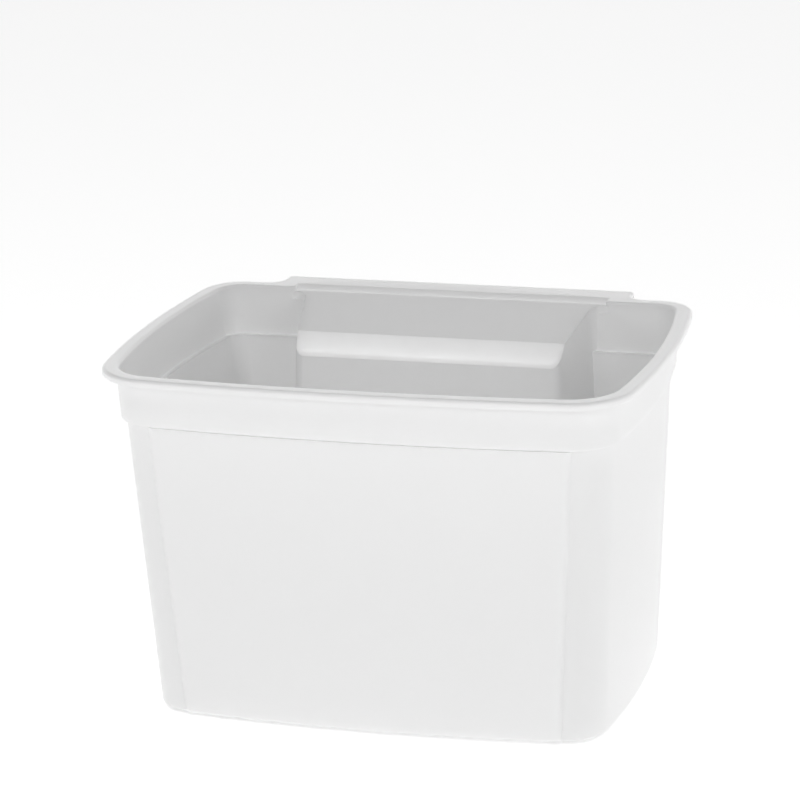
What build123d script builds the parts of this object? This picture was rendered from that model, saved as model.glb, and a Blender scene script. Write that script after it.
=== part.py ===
from build123d import *
import math
import os

# Hang-on waste bin, one thin-walled moulding. Millimetres, +Z up, front towards -Y.
# While it is built, y = 0 is the line through the rim's front corners; it is centred at the end.

# Walls
wall = 2.0
floor_thickness = 2.4

# Rim: the outer edge of the mouth, seen from above
height = 196.0
rim_half_front = 143.75
rim_half_rear = 140.25
rim_depth = 193.0
rim_bow_front = 7.0
rim_bow_side = 8.0
rim_radius_front = 34.0
rim_radius_rear = 22.0
skirt_height = 4.0
skirt_wall = 1.6
rim_outer_round = 1.5
rim_inner_edge = 1.6

# Collar: the upright band under the rim, given by how far it stands inside the rim
collar_height = 28.0
collar_inset_top = 6.5
collar_inset_bottom = 8.0

# Body: steps in below the collar and narrows to the floor
step_inset = 2.8
step_drop = 1.4
base_half_front = 124.0
base_half_rear = 121.0
base_front = 15.6
base_rear = 174.4
base_bow_front = 8.3
base_bow_side = 6.6
base_radius_front = 22.5
base_radius_rear = 16.0

# Front panel: a flat field that stands slightly proud between the front corners
panel_proud = 1.0
panel_half_top = 117.0
panel_half_bottom = 105.5

# Shelf: the rear middle runs from the rim down to a steep strip and a set-in wall
shelf_run = 46.0
shelf_drop = 14.0
strip_run = 9.0
strip_drop = 10.5
recess_half_front = 75.5
recess_half_rear = 81.5
recess_flare = 7.0
recess_corner = 6.0
recess_draft = 2.5

# Hook: a flange behind the rim with a lip turned down, for the board the bin hangs on
flange_run = 15.3
flange_half = 102.5
flange_fillet = 9.5
lip_height = 16.0
lip_corner = 2.0

# Cutting blocks run past the part by this much, and points closer than this are the same point
reach = 60.0
same = 0.01

collar_bottom = height - collar_height
body_top = collar_bottom - step_drop
body_inset = collar_inset_bottom + step_inset
rear_line = rim_depth
strip_top = height - shelf_drop
strip_bottom = strip_top - strip_drop
shelf_front = rear_line - shelf_run
recess_front = shelf_front - strip_run
half_mouth = recess_half_rear + recess_flare
half_root = flange_half + flange_fillet
half_wide = rim_half_front + reach

# Where the moulding is divided, seen from above: beside the corners and beside the recess
corner_x = base_half_front - base_radius_front
corner_y = base_front + base_radius_front
pocket_y = base_rear - base_radius_rear
recess_x = recess_half_front - recess_corner
depth_middle = (rear_line + flange_run - rim_bow_front) / 2


def outline(half_front, half_rear, y_front, y_rear, bow_front, bow_side, radius_front, radius_rear):
    """A mouth-like outline: bowed front and sides, straight rear, four rounded corners."""
    middle = ((half_front + half_rear) / 2, (y_front + y_rear) / 2)
    run = math.hypot(half_rear - half_front, y_rear - y_front)
    out_x = (y_rear - y_front) / run * bow_side
    out_y = (half_front - half_rear) / run * bow_side
    side = (middle[0] + out_x, middle[1] + out_y)
    edges = [
        ThreePointArc((-half_front, y_front), (0, y_front - bow_front), (half_front, y_front)),
        ThreePointArc((half_front, y_front), side, (half_rear, y_rear)),
        Line((half_rear, y_rear), (-half_rear, y_rear)),
        ThreePointArc((-half_rear, y_rear), (-side[0], side[1]), (-half_front, y_front)),
    ]
    face = make_face(edges)
    centre = (y_front + y_rear) / 2
    front = [v for v in face.vertices() if v.Y < centre]
    face = fillet(front, radius_front)
    corners = [v for v in face.vertices() if abs(v.Y - y_rear) < same]
    return fillet(corners, radius_rear)


def rim_outline(inset=0.0):
    """The rim's outline moved inwards by a distance."""
    return outline(
        rim_half_front - inset, rim_half_rear - inset, inset, rim_depth - inset,
        rim_bow_front, rim_bow_side, rim_radius_front - inset, rim_radius_rear - inset,
    )


def base_outline(inset=0.0):
    """The outline at the floor moved inwards by a distance."""
    return outline(
        base_half_front - inset, base_half_rear - inset, base_front + inset, base_rear - inset,
        base_bow_front, base_bow_side, base_radius_front - inset, base_radius_rear - inset,
    )


def between(low, low_z, high, high_z):
    """A solid with straight sides between two outlines."""
    return loft([Pos(0, 0, low_z) * low, Pos(0, 0, high_z) * high], ruled=True)


def slab(low, high):
    """A block wider than the moulding, between two heights."""
    block = Box(2 * half_wide, 2 * (rim_depth + 2 * reach), high - low)
    return Pos(0, 0, (low + high) / 2) * block


def plan_block(x_low, x_high, y_low, y_high):
    """A block taller than the moulding, over a rectangle seen from above."""
    block = Box(x_high - x_low, y_high - y_low, 2 * (height + reach))
    return Pos((x_low + x_high) / 2, (y_low + y_high) / 2, 0) * block


def rear_block(front, back, low, half_width):
    """A block behind a line, from a height up to above the rim."""
    block = Box(2 * half_width, back - front, height + reach - low)
    return Pos(0, (front + back) / 2, (low + height + reach) / 2) * block


def tub_form(extra):
    """The body, the step and the collar as one solid, with every wall moved in by extra."""
    body = between(base_outline(extra), 0, rim_outline(body_inset + extra), body_top)
    step = between(
        rim_outline(body_inset + extra), body_top,
        rim_outline(collar_inset_bottom + extra), collar_bottom,
    )
    collar = between(
        rim_outline(collar_inset_bottom + extra), collar_bottom,
        rim_outline(collar_inset_top + extra), height,
    )
    return body + step + collar


def recess_plan(inset, grow):
    """The shelf's outline from above. inset moves its walls in, grow moves them out."""
    front = recess_front + inset - grow
    half_front = recess_half_front - inset + grow
    half_rear = recess_half_rear - inset + grow
    pocket_wall = rear_line - collar_inset_top - wall + inset
    half_end = recess_half_rear + 2 * recess_flare - inset + grow
    right = [
        (half_front, front),
        (half_rear, pocket_wall),
        (half_end, pocket_wall),
        (half_end, rear_line),
    ]
    left = [(-x, y) for x, y in reversed(right)]
    face = make_face(Polyline(right + left, close=True))
    corners = [v for v in face.vertices() if abs(v.Y - front) < same]
    face = fillet(corners, recess_corner - inset)
    flares = [v for v in face.vertices() if abs(abs(v.X) - half_rear) < same]
    return fillet(flares, recess_flare + inset)


def shelf_profile(drop, back):
    """The region under the shelf and its steep strip, seen from the side, as a solid."""
    points = [
        (back, height - drop),
        (rear_line, height - drop),
        (shelf_front, strip_top - drop),
        (recess_front - drop, strip_bottom - drop),
        (recess_front - reach, strip_bottom - drop),
        (recess_front - reach, -reach),
        (back, -reach),
    ]
    face = make_face(Plane.YZ * Polyline(points, close=True))
    return Pos(-half_wide, 0, 0) * extrude(face, 2 * half_wide, dir=(1, 0, 0))


def recess_form(inset):
    """The solid under the shelf: its walls lean outwards towards the floor."""
    grow = math.tan(math.radians(recess_draft)) * height
    column = between(recess_plan(inset, grow), 0, recess_plan(inset, 0), height)
    return column & shelf_profile(inset, rear_line + reach)


def above_shelf():
    """The open space over the shelf, up to the rim's rear line."""
    column = extrude(recess_plan(0, 0), height + reach)
    column = column & rear_block(0, rear_line, 0, half_mouth)
    return column - shelf_profile(0, rear_line + reach)


def flange_plan():
    """The hook flange from above, with a fillet where each end runs into the rim."""
    back = rear_line + flange_run
    right = [
        (half_root, rear_line - wall),
        (half_root, rear_line),
        (flange_half, rear_line),
        (flange_half, back),
    ]
    left = [(-x, y) for x, y in reversed(right)]
    face = make_face(Polyline(right + left, close=True))
    at_rim = [v for v in face.vertices() if abs(v.Y - rear_line) < same]
    roots = [v for v in at_rim if abs(abs(v.X) - flange_half) < same]
    face = fillet(roots, flange_fillet - same)
    ends = [v for v in face.vertices() if abs(v.Y - back) < same]
    return fillet(ends, lip_corner)


def rim_and_flange():
    """The solid block of the rim and the hook, with its upper outer edge rounded."""
    rim = extrude(Pos(0, 0, height - skirt_height) * rim_outline(), skirt_height)
    flange = extrude(Pos(0, 0, height - lip_height) * flange_plan(), lip_height)
    block = rim + flange
    upper = block.faces().sort_by(Axis.Z)[-1]
    return fillet(upper.edges(), rim_outer_round)


def under_rim():
    """The space under the rim and under the flange, in front of the lip."""
    groove = extrude(Pos(0, 0, height - skirt_height) * rim_outline(skirt_wall), skirt_height - wall)
    front = rear_line - rim_radius_rear / 2
    back = rear_line + flange_run - wall
    channel = Box(2 * half_root, back - front, lip_height - wall)
    middle = Pos(0, (front + back) / 2, height - wall - (lip_height - wall) / 2)
    return groove + middle * channel - rear_block(0, rear_line, 0, half_mouth)


def front_panel():
    """The proud field on the front, narrower at the floor, with sloped side edges."""
    points = [
        (panel_half_bottom, 0),
        (panel_half_top, body_top),
        (-panel_half_top, body_top),
        (-panel_half_bottom, 0),
    ]
    face = make_face(Plane.XZ * Polyline(points, close=True))
    field = Pos(0, -reach, 0) * extrude(face, 2 * reach, dir=(0, 1, 0))
    body = between(base_outline(0), 0, rim_outline(body_inset), body_top)
    return (Pos(0, -panel_proud, 0) * body) & field


def moulding():
    """The whole bin as one moulding."""
    block = rim_and_flange()
    tub = tub_form(0) + front_panel()
    outside = tub + (block - (under_rim() - tub))
    outside = outside - recess_form(wall)
    hollow = (tub_form(wall) & slab(floor_thickness, height + reach)) - recess_form(0)
    return outside - hollow - above_shelf() - mouth_edge()


def mouth_edge():
    """The sloped inner edge of the rim."""
    inset = collar_inset_top + wall
    wide = rim_outline(inset - rim_inner_edge)
    edge = between(rim_outline(inset), height - rim_inner_edge, wide, height)
    return edge - recess_form(0)


def sections(shell):
    """The moulding divided at its natural lines into solids that meet face to face."""
    shelf_cut = rear_block(recess_front - reach, rear_line, collar_bottom, half_mouth)
    flange_cut = rear_block(rear_line, rear_line + reach, 0, half_wide)
    ring = shell - shelf_cut - flange_cut
    walls = ring & slab(floor_thickness, collar_bottom)
    band = ring & slab(collar_bottom, height - skirt_height)
    front = plan_block(-corner_x, corner_x, -reach, corner_y)
    parts = {
        "floor": ring & slab(-reach, floor_thickness),
        "front_wall": walls & front,
        "recess_wall": walls & plan_block(-recess_x, recess_x, corner_y, rear_line),
        "collar_front": band & front,
        "rim": ring & slab(height - skirt_height, height + reach),
        "rear_shelf": (shell & shelf_cut) - flange_cut,
        "hook_flange": shell & flange_cut,
    }
    for side, sign in (("left", -1), ("right", 1)):
        outer = sorted((sign * corner_x, sign * half_wide))
        inner = sorted((sign * recess_x, sign * corner_x))
        parts[f"front_{side}_corner"] = walls & plan_block(*outer, -reach, corner_y)
        parts[f"{side}_wall"] = walls & plan_block(*outer, corner_y, pocket_y)
        parts[f"rear_{side}_corner"] = walls & plan_block(*outer, pocket_y, rear_line)
        parts[f"recess_{side}_side"] = walls & plan_block(*inner, corner_y, rear_line)
        half = plan_block(*sorted((0, sign * half_wide)), -reach, rear_line)
        parts[f"collar_{side}"] = (band & half) - front
    return parts


os.makedirs("parts", exist_ok=True)
to_middle = Pos(0, -depth_middle, 0)
for name, solid in sections(moulding()).items():
    placed = to_middle * solid
    print(name, len(placed.solids()), round(placed.volume))
    export_step(placed, f"parts/{name}.step")
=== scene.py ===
import math

import bmesh
import bpy
from mathutils import Matrix, Vector


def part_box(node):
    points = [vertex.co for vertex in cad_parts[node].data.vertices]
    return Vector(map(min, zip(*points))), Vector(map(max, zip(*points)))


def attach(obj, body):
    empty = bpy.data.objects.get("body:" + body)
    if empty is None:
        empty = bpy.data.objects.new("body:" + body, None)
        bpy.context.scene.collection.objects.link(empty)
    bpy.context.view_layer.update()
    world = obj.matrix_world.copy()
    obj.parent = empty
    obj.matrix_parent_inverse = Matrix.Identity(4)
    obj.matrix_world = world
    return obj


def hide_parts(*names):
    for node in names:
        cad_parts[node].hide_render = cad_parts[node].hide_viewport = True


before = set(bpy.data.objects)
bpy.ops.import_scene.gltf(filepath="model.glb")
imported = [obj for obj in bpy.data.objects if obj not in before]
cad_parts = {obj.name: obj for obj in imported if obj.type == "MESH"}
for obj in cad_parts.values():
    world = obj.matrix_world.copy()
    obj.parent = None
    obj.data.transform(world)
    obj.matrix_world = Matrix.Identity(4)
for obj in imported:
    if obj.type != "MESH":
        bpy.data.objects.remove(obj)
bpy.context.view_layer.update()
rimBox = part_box("rim")
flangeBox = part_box("hook_flange")
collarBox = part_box("collar_front")
print("frame loaded")

# Sizes in metres. Everything is measured from the rim: its top, and the line through its front corners.
mm = 0.001
top = rimBox[1][2]
rearLine = rimBox[1][1]
frontLine = rearLine - 193 * mm

mouth = {
    "halfFront": 143.75 * mm, "halfRear": 140.25 * mm,
    "bowFront": 7 * mm, "bowSide": 8 * mm,
    "radiusFront": 34 * mm, "radiusRear": 22 * mm,
    "wall": 2 * mm, "skirt": top - rimBox[0][2], "skirtWall": 1.6 * mm,
    "outerRound": 1.9 * mm, "innerRound": 1.9 * mm,
}
body = {
    "halfFront": 124 * mm, "halfRear": 121 * mm,
    "front": 15.6 * mm, "rear": 174.4 * mm,
    "bowFront": 8.3 * mm, "bowSide": 6.6 * mm,
    "radiusFront": 22.5 * mm, "radiusRear": 16 * mm,
    "floor": 2.4 * mm, "bottomRound": 1.6 * mm,
    "collarBottom": collarBox[0][2], "insetTop": 6.5 * mm, "insetBottom": 8 * mm,
    "stepInset": 2.8 * mm, "stepDrop": 1.8 * mm, "innerDrop": 0.5 * mm,
    "panelProud": 1.2 * mm, "panelHalfTop": 117 * mm, "panelHalfBottom": 105.5 * mm, "panelEdge": 3 * mm,
}
shelf = {
    "run": 46 * mm, "drop": 14 * mm, "stripRun": 9 * mm, "stripDrop": 10.5 * mm,
    "halfFront": 75.5 * mm, "halfRear": 84 * mm, "flare": 7 * mm, "corner": 6 * mm,
    "draft": math.radians(2.5), "edgeRound": 2.2 * mm, "underRound": 1.2 * mm,
    "overlap": 0.3 * mm,   # how far the flare runs into the pocket's rear wall
}
hook = {
    "half": 102.5 * mm, "fillet": 9.4 * mm, "corner": 2.4 * mm,
    "back": flangeBox[1][1], "lipBottom": flangeBox[0][2],
}


# An outline seen from above: bowed front and sides, straight rear, and a middle part of the rear
# that stands forwards or back. Each outline has the same points in the same order.
def arcPoints(centre, start, end, count):
    radius = (start - centre).length
    first = math.atan2(start.y - centre.y, start.x - centre.x)
    turn = math.atan2(end.y - centre.y, end.x - centre.x) - first
    turn = (turn + math.pi) % (2 * math.pi) - math.pi
    angles = [first + turn * i / count for i in range(count + 1)]
    return [centre + radius * Vector((math.cos(a), math.sin(a))) for a in angles]


def linePoints(start, end, count):
    return [start.lerp(end, i / count) for i in range(count + 1)]


def circlesMeet(centreA, radiusA, centreB, radiusB):
    # The meeting point with the larger x
    apart = centreB - centreA
    distance = apart.length
    along = (radiusA ** 2 - radiusB ** 2 + distance ** 2) / (2 * distance)
    aside = math.sqrt(radiusA ** 2 - along ** 2)
    unit = apart / distance
    normal = Vector((-unit.y, unit.x))
    meets = [centreA + along * unit + aside * normal, centreA + along * unit - aside * normal]
    return max(meets, key=lambda p: p.x)


def roundedCorner(before, corner, after, radius, count):
    toBefore = (before - corner).normalized()
    toAfter = (after - corner).normalized()
    half = toBefore.angle(toAfter) / 2
    reach = radius / math.tan(half)
    centre = corner + (toBefore + toAfter).normalized() * radius / math.sin(half)
    return arcPoints(centre, corner + toBefore * reach, corner + toAfter * reach, count)


def halfOutline(halfFront, halfRear, front, rear, bowFront, bowSide, radiusFront, radiusRear, middle=None):
    # From the middle of the front, along the right-hand side, to the middle of the rear
    frontRadius = (halfFront ** 2 + bowFront ** 2) / (2 * bowFront)
    frontCentre = Vector((0, front - bowFront + frontRadius))
    start = Vector((halfFront, front))
    end = Vector((halfRear, rear))
    chord = end - start
    sideRadius = ((chord.length / 2) ** 2 + bowSide ** 2) / (2 * bowSide)
    inwards = Vector((-chord.y, chord.x)).normalized()
    sideCentre = (start + end) / 2 + inwards * (sideRadius - bowSide)
    cornerFront = circlesMeet(frontCentre, frontRadius - radiusFront, sideCentre, sideRadius - radiusFront)
    rearDrop = sideCentre.y - (rear - radiusRear)
    cornerRear = Vector((
        sideCentre.x + math.sqrt((sideRadius - radiusRear) ** 2 - rearDrop ** 2), rear - radiusRear,
    ))
    onFront = cornerFront + (cornerFront - frontCentre).normalized() * radiusFront
    onSide = cornerFront + (cornerFront - sideCentre).normalized() * radiusFront
    leaveSide = cornerRear + (cornerRear - sideCentre).normalized() * radiusRear
    onRear = Vector((cornerRear.x, rear))
    # The points crowd together beside the corner's beginning, where the front panel ends
    near = onFront.x - 6 * mm
    beside = Vector((near, frontCentre.y - math.sqrt(frontRadius ** 2 - near ** 2)))
    points = arcPoints(frontCentre, Vector((0, front - bowFront)), beside, 14)
    points += arcPoints(frontCentre, beside, onFront, 12)[1:]
    corner = arcPoints(cornerFront, onFront, onSide, 80)
    points += corner[1:17] + corner[20::5]
    points += arcPoints(sideCentre, onSide, leaveSide, 12)[1:]
    points += arcPoints(cornerRear, leaveSide, onRear, 12)[1:]
    if middle is None:
        # The points crowd together where a middle part would leave the line
        beside = Vector((shelf["halfRear"] + shelf["flare"] + 3 * mm, rear))
        within = Vector((beside.x - 5 * mm, rear))
        points += linePoints(onRear, beside, 3)[1:] + linePoints(beside, within, 19)[1:]
        return points + linePoints(within, Vector((0, rear)), 10)[1:]
    root = Vector((middle["root"], rear))
    far = Vector((middle["half"], middle["line"]))
    centre = Vector((0, middle["line"]))
    rootArc = roundedCorner(onRear, root, far, middle["rootRadius"], 8)
    farArc = roundedCorner(root, far, centre, middle["farRadius"], 8)
    points += linePoints(onRear, rootArc[0], 3)[1:] + rootArc[1:]
    points += linePoints(rootArc[-1], farArc[0], 3)[1:] + farArc[1:]
    return points + linePoints(farArc[-1], centre, 10)[1:]


def wholeOutline(half):
    mirrored = [Vector((-p.x, p.y)) for p in reversed(half[1:-1])]
    return half + mirrored


def rimOutline(inset, middle=None):
    return wholeOutline(halfOutline(
        mouth["halfFront"] - inset, mouth["halfRear"] - inset, frontLine + inset, rearLine - inset,
        mouth["bowFront"], mouth["bowSide"],
        mouth["radiusFront"] - inset, mouth["radiusRear"] - inset, middle,
    ))


def bodyOutline(inset, height):
    # Straight walls between the floor's outline and the outline under the step
    share = height / (body["collarBottom"] - body["stepDrop"])
    under = body["insetBottom"] + body["stepInset"]
    low = wholeOutline(halfOutline(
        body["halfFront"] - inset, body["halfRear"] - inset, frontLine + body["front"] + inset,
        frontLine + body["rear"] - inset, body["bowFront"], body["bowSide"],
        body["radiusFront"] - inset, body["radiusRear"] - inset,
    ))
    return [a.lerp(b, share) for a, b in zip(low, rimOutline(under + inset))]


def withPanel(points, height):
    # The front field stands proud of the corners. Its side edges are a round that ends in a crisp line.
    spread = body["panelHalfTop"] - body["panelHalfBottom"]
    half = body["panelHalfBottom"] + spread * height / body["collarBottom"]
    shaped = []
    for p in points:
        share = min(max((half - abs(p.x)) / body["panelEdge"], 0), 1)
        rise = body["panelProud"] * math.sqrt(share * (2 - share))
        shaped.append(Vector((p.x, p.y - rise)) if p.y < frontLine + body["front"] * 2 else p)
    return shaped


# Building a closed form from outlines: a ring of points is extruded from one outline to the next
def startPiece(name, count):
    bpy.ops.object.select_all(action="DESELECT")
    bpy.ops.mesh.primitive_circle_add(vertices=count, radius=0.1, location=(0, 0, 0))
    piece = bpy.context.object
    piece.name = name
    station = piece.data.attributes.new("station", "INT", "POINT")
    station.data.foreach_set("value", list(range(count)))
    bpy.ops.object.mode_set(mode="EDIT")
    bpy.ops.mesh.select_all(action="SELECT")
    return piece


def placeRing(piece, outline, height):
    mesh = bmesh.from_edit_mesh(piece.data)
    station = mesh.verts.layers.int["station"]
    for vert in mesh.verts:
        if vert.select:
            point = outline[vert[station]]
            vert.co = (point.x, point.y, height)
    bmesh.update_edit_mesh(piece.data)


def loftForm(name, rings):
    # rings: (outline, height) from the lowest to the highest
    piece = startPiece(name, len(rings[0][0]))
    placeRing(piece, *rings[0])
    bpy.ops.mesh.edge_face_add()
    for outline, height in rings[1:]:
        bpy.ops.mesh.extrude_edges_move()
        placeRing(piece, outline, height)
    bpy.ops.mesh.edge_face_add()
    bpy.ops.mesh.select_all(action="SELECT")
    bpy.ops.mesh.normals_make_consistent(inside=False)
    bpy.ops.object.mode_set(mode="OBJECT")
    return piece


def blockForm(name, low, high):
    bpy.ops.object.select_all(action="DESELECT")
    low, high = Vector(low), Vector(high)
    bpy.ops.mesh.primitive_cube_add(size=1, location=(low + high) / 2, scale=high - low)
    bpy.ops.object.transform_apply(location=True, rotation=True, scale=True)
    block = bpy.context.object
    block.name = name
    return block


def combine(piece, tool, operation):
    bpy.ops.object.select_all(action="DESELECT")
    bpy.context.view_layer.objects.active = piece
    piece.select_set(True)
    boolean = piece.modifiers.new("combine", "BOOLEAN")
    boolean.operation = operation
    boolean.solver = "EXACT"
    boolean.object = tool
    bpy.ops.object.modifier_apply(modifier=boolean.name)
    bpy.data.objects.remove(tool, do_unlink=True)


def quarterRound(radius, steps=5):
    # (how far in, how far up) along a quarter round that starts upright
    turns = [math.pi / 2 * i / steps for i in range(steps + 1)]
    return [(radius * (1 - math.cos(t)), radius * math.sin(t)) for t in turns]


# The tub's outer form: rounded foot, leaning walls, small ledge, collar
def bodyRings(inset, low, high, count):
    heights = [low + (high - low) * i / count for i in range(count + 1)]
    return [(bodyOutline(inset, z), z) for z in heights]


def ledgeRings(inset, drop):
    base = body["collarBottom"] - drop
    full = body["insetBottom"] + body["stepInset"]
    path = [(0.1, 0.25), (0.35, 0.42), (0.7, 0.5), (0.9, 0.62), (1, 0.9)]   # shares of the ledge, in and up
    return [(rimOutline(inset + full - body["stepInset"] * a), base + drop * b) for a, b in path]


def collarRings(inset, high, count):
    rings = []
    for i in range(count + 1):
        z = body["collarBottom"] + (high - body["collarBottom"]) * (i + 0.3) / (count + 0.3)
        share = (z - body["collarBottom"]) / (top - body["collarBottom"])
        lean = (body["insetTop"] - body["insetBottom"]) * share
        rings.append((rimOutline(inset + body["insetBottom"] + lean), z))
    return rings


def makeTub():
    foot = [(bodyOutline(inward, up), up) for up, inward in quarterRound(body["bottomRound"])]
    walls = bodyRings(0, body["bottomRound"] * 2, body["collarBottom"] - body["stepDrop"], 10)
    rings = [(withPanel(outline, z), z) for outline, z in foot + walls]
    rings += ledgeRings(0, body["stepDrop"]) + collarRings(0, top - mouth["wall"] / 2, 3)
    return loftForm("tub", rings)


# The rim with the hook flange: one block with a rounded upper edge, hollowed from below
def rimMiddle(inset):
    return {
        "root": hook["half"] - inset, "half": hook["half"] - inset, "line": hook["back"] - inset,
        "rootRadius": hook["fillet"] + inset, "farRadius": max(hook["corner"] - inset, 0.4 * mm),
    }


def makeRim():
    rings = [(rimOutline(0, rimMiddle(0)), hook["lipBottom"])]
    for inward, up in quarterRound(mouth["outerRound"], 6):
        rings.append((rimOutline(inward, rimMiddle(inward)), top - mouth["outerRound"] + up))
    rim = loftForm("rimBlock", rings)
    lipFront = hook["back"] - mouth["wall"]
    underSkirt = blockForm("underSkirt", (-0.3, -0.3, 0.1), (0.3, lipFront, top - mouth["skirt"]))
    combine(rim, underSkirt, "DIFFERENCE")
    ringLow = top - mouth["skirt"] * 2
    grooveOutline = rimOutline(mouth["skirtWall"])
    groove = loftForm("groove", [(grooveOutline, ringLow), (grooveOutline, top - mouth["wall"])])
    combine(rim, groove, "DIFFERENCE")
    underFlange = blockForm(
        "underFlange", (-hook["half"] - hook["fillet"], rearLine - mouth["radiusRear"] / 2, 0.1),
        (hook["half"] + hook["fillet"], lipFront, top - mouth["wall"]),
    )
    combine(rim, underFlange, "DIFFERENCE")
    return rim


# The set-in middle of the rear: an upright form under the sloping shelf and its steep strip
def recessOutline(inset, grow, rear):
    front = rearLine - shelf["run"] - shelf["stripRun"] + inset - grow
    pocketWall = rearLine - body["insetTop"] - mouth["wall"] + inset + shelf["overlap"]
    cornerFront = Vector((shelf["halfFront"] - inset + grow, front))
    root = Vector((shelf["halfRear"] - inset + grow, pocketWall))
    end = Vector((shelf["halfRear"] + 2 * shelf["flare"] + grow, pocketWall))
    middle = Vector((0, front))
    cornerArc = roundedCorner(middle, cornerFront, root, shelf["corner"] - inset, 8)
    flareArc = roundedCorner(cornerFront, root, end, shelf["flare"] + inset, 8)
    half = linePoints(middle, cornerArc[0], 6) + cornerArc[1:]
    half += linePoints(cornerArc[-1], flareArc[0], 8)[1:] + flareArc[1:]
    half += [end, Vector((end.x, rear)), Vector((0, rear))]
    return wholeOutline(half)


def cutAbove(piece, point, normal):
    bpy.ops.object.select_all(action="DESELECT")
    bpy.context.view_layer.objects.active = piece
    piece.select_set(True)
    bpy.ops.object.mode_set(mode="EDIT")
    bpy.ops.mesh.select_all(action="SELECT")
    bpy.ops.mesh.bisect(
        plane_co=point, plane_no=Vector(normal).normalized(), use_fill=True, clear_outer=True, threshold=1e-6,
    )
    bpy.ops.mesh.select_all(action="SELECT")
    bpy.ops.mesh.normals_make_consistent(inside=False)
    bpy.ops.object.mode_set(mode="OBJECT")


def makeRecess(name, inset, rear, roof, rounding):
    stripTop = Vector((0, rearLine - shelf["run"], top - inset - shelf["drop"]))
    stripBottom = stripTop - Vector((0, shelf["stripRun"] + inset, shelf["stripDrop"]))
    slope = math.tan(shelf["draft"])
    rings = [(recessOutline(inset, slope * (top - z), rear), z) for z in (-5 * mm, roof)]
    piece = loftForm(name, rings)
    cutAbove(piece, stripTop, (0, -shelf["drop"], shelf["run"]))
    strip = stripTop - stripBottom
    cutAbove(piece, stripTop, (0, -strip.z, strip.y))
    roundTopEdges(piece, stripBottom.z - 2 * mm, rounding)
    return piece


def roundTopEdges(piece, low, radius):
    # The rounding runs along the shelf's sides, its two cross edges and the sides of the strip
    bpy.ops.object.mode_set(mode="EDIT")
    bpy.ops.mesh.select_mode(type="EDGE")
    bpy.ops.mesh.select_all(action="DESELECT")
    mesh = bmesh.from_edit_mesh(piece.data)
    for edge in mesh.edges:
        high = all(v.co.z > low for v in edge.verts)
        before = all(v.co.y < rearLine - body["insetTop"] for v in edge.verts)
        edge.select_set(high and before and edge.calc_face_angle(0) > math.radians(25))
    bmesh.update_edit_mesh(piece.data)
    bpy.ops.mesh.bevel(offset=radius, offset_type="WIDTH", segments=6, profile=0.5, clamp_overlap=True)
    bpy.ops.object.mode_set(mode="OBJECT")


# The space inside: floor, leaning walls, ledge, collar, and a mouth that flares into the rim's top
def mouthMiddle(inset):
    out = body["insetTop"] + mouth["wall"] - inset
    half = shelf["halfRear"] + shelf["flare"] + out
    return {"root": half, "half": half, "line": rearLine + 1 * mm, "rootRadius": 3 * mm, "farRadius": 2 * mm}


def makeHollow():
    floor = body["floor"]
    fillet = 3 * mm
    low = []
    for inward, up in quarterRound(fillet):
        low.append((bodyOutline(mouth["wall"] + fillet - up, floor + inward), floor + inward))
    inner = mouth["wall"]
    rings = low + bodyRings(inner, floor + 2 * fillet, body["collarBottom"] - body["innerDrop"], 10)
    behindShelf = top - 5 * mm
    rings += ledgeRings(inner, body["innerDrop"]) + collarRings(inner, behindShelf - 2 * mm, 2)
    inset = body["insetTop"] + inner
    rings.append((rimOutline(inset, mouthMiddle(inset)), behindShelf))
    for inward, up in quarterRound(mouth["innerRound"], 6):
        outward = inset - inward
        rings.append((rimOutline(outward, mouthMiddle(outward)), top - mouth["innerRound"] + up))
    rings.append((rings[-1][0], top + 5 * mm))
    return loftForm("hollow", rings)


moulding = makeRim()
print("rim built")
combine(moulding, makeTub(), "UNION")
recessUnder = makeRecess("recessUnder", mouth["wall"], rearLine, top - mouth["wall"], shelf["underRound"])
combine(moulding, recessUnder, "DIFFERENCE")
hollow = makeHollow()
recessOver = makeRecess("recessOver", 0, rearLine + 10 * mm, top + 3 * mm, shelf["edgeRound"])
combine(hollow, recessOver, "DIFFERENCE")
combine(moulding, hollow, "DIFFERENCE")
moulding.name = "binMoulding"
print("moulding built", len(moulding.data.vertices), "points")


def finishMoulding(piece):
    bpy.ops.object.select_all(action="DESELECT")
    bpy.context.view_layer.objects.active = piece
    piece.select_set(True)
    bpy.ops.object.mode_set(mode="EDIT")
    bpy.ops.mesh.select_all(action="SELECT")
    bpy.ops.mesh.remove_doubles(threshold=0.005 * mm)
    bpy.ops.object.mode_set(mode="OBJECT")
    station = piece.data.attributes.get("station")
    if station:
        piece.data.attributes.remove(station)
    bpy.ops.object.shade_smooth_by_angle(angle=math.radians(32))
    weighted = piece.modifiers.new("weighted", "WEIGHTED_NORMAL")
    weighted.keep_sharp = True
    weighted.weight = 100
    bpy.ops.object.modifier_apply(modifier=weighted.name)


finishMoulding(moulding)
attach(moulding, "root")
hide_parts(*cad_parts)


# White polypropylene: the walls let a little light through, the skin is satin with a fine moulded grain
plasticLook = {
    "tint": (0.93, 0.93, 0.93, 1), "depth": 3.5 * mm, "share": 0.75,
    "scuffScale": 160, "grainScale": 1500, "grainDepth": 0.01 * mm, "grainStrength": 0.05,
    "gloss": 0.29, "dull": 0.33, "maskLow": 0.2, "maskHigh": 0.8,
}


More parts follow.
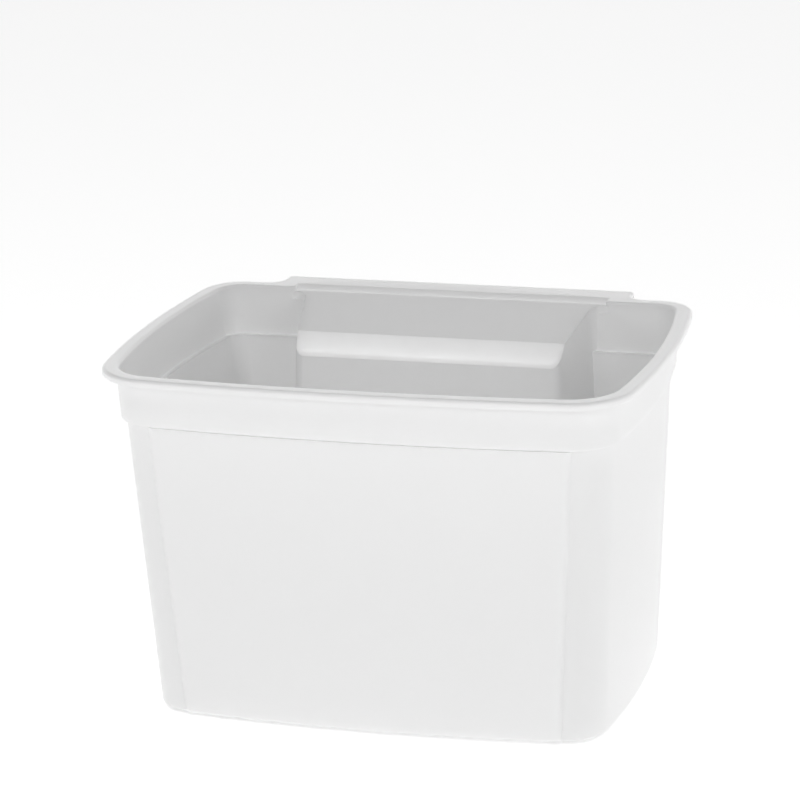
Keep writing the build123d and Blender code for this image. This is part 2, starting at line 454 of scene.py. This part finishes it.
def startEffect(name, output, kind, detail):
    # A group that reads noise where a point lies on the piece, and puts out one value or normal
    group = bpy.data.node_groups.new(name, "ShaderNodeTree")
    group.interface.new_socket("Position", in_out="INPUT", socket_type="NodeSocketVector")
    group.interface.new_socket("Scale", in_out="INPUT", socket_type="NodeSocketFloat")
    group.interface.new_socket(output, in_out="OUTPUT", socket_type=kind)
    given = group.nodes.new("NodeGroupInput")
    noise = group.nodes.new("ShaderNodeTexNoise")
    noise.inputs["Detail"].default_value = detail
    group.links.new(given.outputs["Position"], noise.inputs["Vector"])
    group.links.new(given.outputs["Scale"], noise.inputs["Scale"])
    return group, noise, group.nodes.new("NodeGroupOutput")


def makeMask(name):
    # Soft patches, from 0 to 1
    group, noise, wanted = startEffect(name, "Mask", "NodeSocketFloat", 0)
    spread = group.nodes.new("ShaderNodeMapRange")
    spread.inputs["From Min"].default_value = plasticLook["maskLow"]
    spread.inputs["From Max"].default_value = plasticLook["maskHigh"]
    group.links.new(noise.outputs["Fac"], spread.inputs["Value"])
    group.links.new(spread.outputs["Result"], wanted.inputs["Mask"])
    return group


def makeGrain(name):
    # The fine grain of the mould's steel, as a normal
    group, noise, wanted = startEffect(name, "Normal", "NodeSocketVector", 2)
    bump = group.nodes.new("ShaderNodeBump")
    bump.inputs["Strength"].default_value = plasticLook["grainStrength"]
    bump.inputs["Distance"].default_value = plasticLook["grainDepth"]
    group.links.new(noise.outputs["Fac"], bump.inputs["Height"])
    group.links.new(bump.outputs["Normal"], wanted.inputs["Normal"])
    return group


def useGroup(tree, group, position, scale):
    node = tree.nodes.new("ShaderNodeGroup")
    node.node_tree = group
    node.inputs["Scale"].default_value = scale
    tree.links.new(position, node.inputs["Position"])
    return node


def makePlastic():
    plastic = bpy.data.materials.new("whitePolypropylene")
    plastic.use_nodes = True
    tree = plastic.node_tree
    shader = tree.nodes["Principled BSDF"]
    shader.inputs["Base Color"].default_value = plasticLook["tint"]
    shader.inputs["Subsurface Weight"].default_value = plasticLook["share"]
    shader.inputs["Subsurface Radius"].default_value = (1, 1, 1)
    shader.inputs["Subsurface Scale"].default_value = plasticLook["depth"]
    position = tree.nodes.new("ShaderNodeTexCoord").outputs["Object"]
    scuffs = useGroup(tree, makeMask("patches"), position, plasticLook["scuffScale"])
    grain = useGroup(tree, makeGrain("mouldGrain"), position, plasticLook["grainScale"])
    dull = tree.nodes.new("ShaderNodeMapRange")
    dull.inputs["To Min"].default_value = plasticLook["gloss"]
    dull.inputs["To Max"].default_value = plasticLook["dull"]
    tree.links.new(scuffs.outputs["Mask"], dull.inputs["Value"])
    tree.links.new(dull.outputs["Result"], shader.inputs["Roughness"])
    tree.links.new(grain.outputs["Normal"], shader.inputs["Normal"])
    return plastic


moulding.data.materials.clear()
moulding.data.materials.append(makePlastic())

# Camera: 18 degrees to the right of the front, looking 17 degrees down
camera = {
    "place": Vector((0.6079, -1.9102, 0.7885)), "yaw": 0.310076, "pitch": 0.303950, "roll": -0.040098,
    "lens": 172.6,
}


def placeCamera():
    data = bpy.data.cameras.new("camera")
    eye = bpy.data.objects.new("camera", data)
    bpy.context.scene.collection.objects.link(eye)
    yaw, pitch, roll = camera["yaw"], camera["pitch"], camera["roll"]
    back = Vector((math.sin(yaw) * math.cos(pitch), -math.cos(yaw) * math.cos(pitch), math.sin(pitch)))
    right = Vector((math.cos(yaw), math.sin(yaw), 0))
    up = back.cross(right)
    tiltedRight = right * math.cos(roll) + up * math.sin(roll)
    tiltedUp = up * math.cos(roll) - right * math.sin(roll)
    turn = Matrix((tiltedRight, tiltedUp, back)).transposed()
    eye.matrix_world = Matrix.Translation(camera["place"]) @ turn.to_4x4()
    data.lens = camera["lens"]
    data.sensor_width = 36
    data.clip_start = 0.05
    bpy.context.scene.camera = eye


placeCamera()

# Floor and lights
paperLook = {"tint": (0.9, 0.9, 0.9, 1), "roughness": 0.8, "glow": 0.6}
bpy.ops.object.select_all(action="DESELECT")
bpy.ops.mesh.primitive_plane_add(size=12, location=(0, 0, 0))
floor = bpy.context.object
floor.name = "floor"
paper = bpy.data.materials.new("palePaper")
paper.use_nodes = True
paperShader = paper.node_tree.nodes["Principled BSDF"]
paperShader.inputs["Base Color"].default_value = paperLook["tint"]
paperShader.inputs["Roughness"].default_value = paperLook["roughness"]
paperShader.inputs["Emission Color"].default_value = (1, 1, 1, 1)
paperShader.inputs["Emission Strength"].default_value = paperLook["glow"]
floor.data.materials.append(paper)

# A bright horizon under a dimmer ceiling, brighter behind than in front
studio = {
    "horizon": 1.0, "ceiling": 0.3, "blendStart": 0.3, "blend": 0.75,
    "front": 0.12, "behind": 1.5, "behindFrom": 0.8,
}


def makeStudio():
    world = bpy.data.worlds.new("studio")
    bpy.context.scene.world = world
    world.use_nodes = True
    nodes, links = world.node_tree.nodes, world.node_tree.links
    where = nodes.new("ShaderNodeTexCoord")
    split = nodes.new("ShaderNodeSeparateXYZ")
    ramp = nodes.new("ShaderNodeValToRGB")
    ramp.color_ramp.elements[0].position = studio["blendStart"]
    ramp.color_ramp.elements[0].color = (studio["horizon"],) * 3 + (1,)
    ramp.color_ramp.elements[1].position = studio["blend"]
    ramp.color_ramp.elements[1].color = (studio["ceiling"],) * 3 + (1,)
    depth = nodes.new("ShaderNodeMapRange")
    depth.inputs["From Min"].default_value = 0
    depth.inputs["From Max"].default_value = studio["behindFrom"]
    depth.inputs["To Min"].default_value = studio["front"]
    depth.inputs["To Max"].default_value = studio["behind"]
    links.new(where.outputs["Generated"], split.inputs[0])
    links.new(split.outputs["Z"], ramp.inputs["Fac"])
    links.new(split.outputs["Y"], depth.inputs["Value"])
    links.new(ramp.outputs["Color"], nodes["Background"].inputs["Color"])
    links.new(depth.outputs["Result"], nodes["Background"].inputs["Strength"])


makeStudio()
bpy.context.scene.view_settings.view_transform = "Standard"


def softBox(name, place, aim, width, height, power):
    data = bpy.data.lights.new(name, "AREA")
    data.shape = "RECTANGLE"
    data.size = width
    data.size_y = height
    data.energy = power
    lamp = bpy.data.objects.new(name, data)
    bpy.context.scene.collection.objects.link(lamp)
    lamp.location = place
    lamp.rotation_euler = (Vector(aim) - Vector(place)).to_track_quat("-Z", "Y").to_euler()


softBox("frontBox", (0.1, -1.9, 1.2), (0, 0, 0.15), 0.6, 0.3, 7)
softBox("highBox", (-0.64, -0.9, 1.97), (0, 0.06, 0.17), 0.4, 0.4, 5.5)
softBox("rightBox", (1.6, -0.9, 1.1), (0, 0, 0.12), 0.5, 1.2, 7)
softBox("leftBox", (-1.8, -0.9, 0.7), (0, 0, 0.12), 0.5, 1.2, 3.5)
print("stage set")
